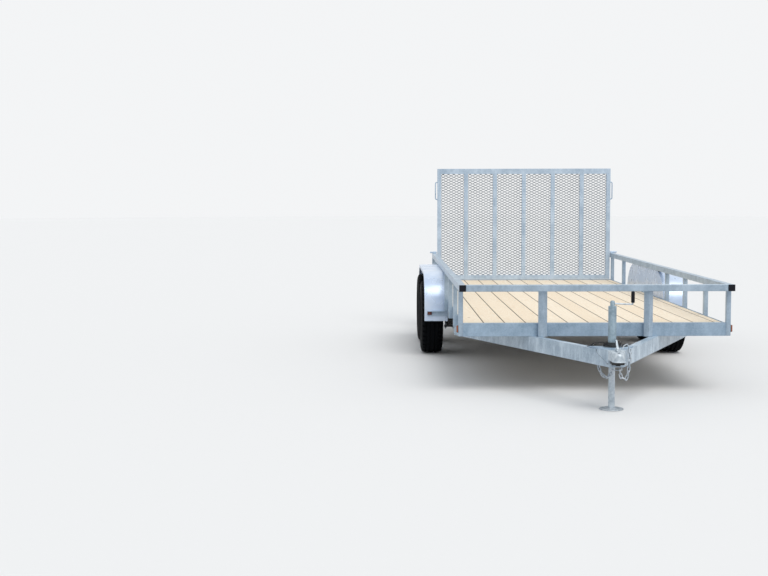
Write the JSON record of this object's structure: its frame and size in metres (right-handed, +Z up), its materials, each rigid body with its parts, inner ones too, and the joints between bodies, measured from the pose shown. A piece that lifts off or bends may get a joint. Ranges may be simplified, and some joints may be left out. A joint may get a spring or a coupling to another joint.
{
  "type": "utility trailer",
  "caption": "Tandem-axle galvanised utility trailer with plank deck, tube side rails, mesh ramp gate, A-frame tongue, coupler, safety chains and jack.",
  "frame": {"origin": "on the floor under the middle of the whole trailer", "axes": "+Y towards the rear of the trailer, +X towards its own left side, +Z up"},
  "size_m": [2.2108, 5.228, 1.59],
  "materials": {
    "amber_lens": "amber lens",
    "black_plastic": "matt black",
    "black_rubber": "black cable",
    "black_steel": "black enamel",
    "fender_sheet": "bright smooth galvanised sheet",
    "galvanised_steel": "hot-dip galvanised, dull with faint streaks",
    "pine_boards": "pale treated pine",
    "red_lens": "red lens",
    "tyre_rubber": "black rubber",
    "wheel_steel": "silver painted steel",
    "zinc_plate": "zinc plated, satin"
  },
  "bodies": {
    "root": {"amber_lamps": "amber_lens", "axle_front": "black_steel", "axle_rear": "black_steel", "chain_anchors": "zinc_plate", "coupler": "zinc_plate", "coupler_latch": "zinc_plate", "deck_boards": "pine_boards", "fender_braces": "galvanised_steel", "fender_left": "fender_sheet", "fender_right": "fender_sheet", "floor_crossmembers": "galvanised_steel", "front_crossmember": "galvanised_steel", "front_posts": "galvanised_steel", "front_rail": "galvanised_steel", "gate_hinges": "galvanised_steel", "gate_latches": "galvanised_steel", "jack_crank": "zinc_plate", "jack_grip": "black_plastic", "jack_plate": "galvanised_steel", "jack_tube": "zinc_plate", "lead_cable": "black_rubber", "lead_coil": "black_rubber", "lead_gland": "black_rubber", "lead_plug": "black_rubber", "plate_bracket": "galvanised_steel", "rail_caps": "black_plastic", "rear_crossmember": "galvanised_steel", "safety_chain_left": "zinc_plate", "safety_chain_right": "zinc_plate", "side_frame_left": "galvanised_steel", "side_frame_right": "galvanised_steel", "side_posts_left": "galvanised_steel", "side_posts_right": "galvanised_steel", "side_rail_left": "galvanised_steel", "side_rail_right": "galvanised_steel", "spring_hangers": "galvanised_steel", "spring_rockers": "black_steel", "springs_left": "black_steel", "springs_right": "black_steel", "tail_lamps": "red_lens", "tongue_beam_left": "galvanised_steel", "tongue_beam_right": "galvanised_steel"},
    "gate_body": {"gate_frame": "galvanised_steel", "gate_handles": "galvanised_steel", "gate_mesh": "galvanised_steel"},
    "jack_leg_body": {"jack_foot": "zinc_plate", "jack_leg": "zinc_plate"},
    "wheel_front_left_body": {"tyre_front_left": "tyre_rubber", "wheel_front_left": "wheel_steel"},
    "wheel_front_right_body": {"tyre_front_right": "tyre_rubber", "wheel_front_right": "wheel_steel"},
    "wheel_rear_left_body": {"tyre_rear_left": "tyre_rubber", "wheel_rear_left": "wheel_steel"},
    "wheel_rear_right_body": {"tyre_rear_right": "tyre_rubber", "wheel_rear_right": "wheel_steel"}
  },
  "joints": [
    {"name": "wheel_front_left_spin", "type": "hinge", "parent": "root", "child": "wheel_front_left_body", "pos_m": [1.013, 0.53204, 0.306], "axis": [1, 0, 0], "continuous": true},
    {"name": "wheel_front_right_spin", "type": "hinge", "parent": "root", "child": "wheel_front_right_body", "pos_m": [-1.013, 0.53204, 0.306], "axis": [1, 0, 0], "continuous": true},
    {"name": "wheel_rear_left_spin", "type": "hinge", "parent": "root", "child": "wheel_rear_left_body", "pos_m": [1.013, 1.37004, 0.306], "axis": [1, 0, 0], "continuous": true},
    {"name": "wheel_rear_right_spin", "type": "hinge", "parent": "root", "child": "wheel_rear_right_body", "pos_m": [-1.013, 1.37004, 0.306], "axis": [1, 0, 0], "continuous": true},
    {"name": "gate_hinge", "type": "hinge", "parent": "root", "child": "gate_body", "pos_m": [0, 2.59604, 0.445], "axis": [-1, 0, 0], "range_deg": [0, 113]},
    {"name": "jack_slide", "type": "slide", "parent": "root", "child": "jack_leg_body", "axis": [0, 0, 1], "range_m": [0, 0.2]}
  ]
}
